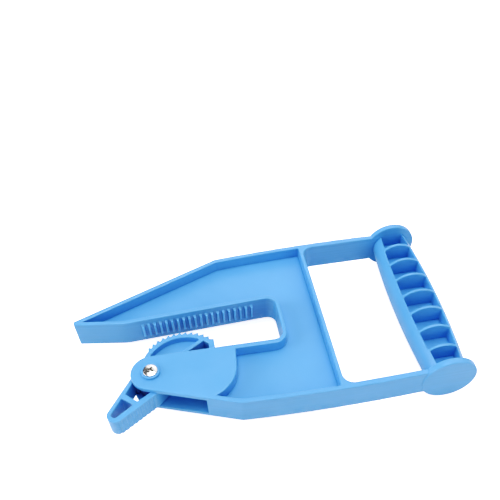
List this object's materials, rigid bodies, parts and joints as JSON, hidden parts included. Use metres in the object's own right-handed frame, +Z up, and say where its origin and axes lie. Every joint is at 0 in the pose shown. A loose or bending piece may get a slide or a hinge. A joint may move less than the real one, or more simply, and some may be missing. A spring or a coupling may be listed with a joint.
{
  "type": "mat mover",
  "caption": "One-handed carrier for boards, mats and panels: ribbed fixed jaw, self-gripping toothed cam with a thumb lever, and a barrel-shaped bar grip between two arms.",
  "frame": {"origin": "bottom centre of the bounding box, under the tray, level with the lowest point of the grip's end discs", "axes": "+X from the jaw tip to the bar grip, +Y to the fixed jaw's side, +Z up through the frame's thickness and along the cam's pivot"},
  "size_m": [0.2436, 0.125, 0.035],
  "materials": {
    "frame_plastic": "satin light blue moulded plastic",
    "cam_plastic": "satin light blue moulded plastic",
    "screw_chrome": "bright plated steel",
    "sleeve_steel": "turned steel",
    "washer_steel": "plated steel",
    "nut_steel": "plated steel",
    "nylon": "natural nylon"
  },
  "bodies": {
    "frame": {"frame_body": "frame_plastic", "pivot_screw": "screw_chrome", "pivot_sleeve": "sleeve_steel", "nut_washer": "washer_steel", "lock_nut": "nut_steel", "nut_insert": "nylon"},
    "cam": {"cam_lever": "cam_plastic"}
  },
  "joints": [
    {"name": "cam_pivot", "type": "hinge", "parent": "frame", "child": "cam", "pos_m": [-0.075, -0.0277, 0.0175], "axis": [0, 0, 1], "range_deg": [-45, 33]}
  ]
}
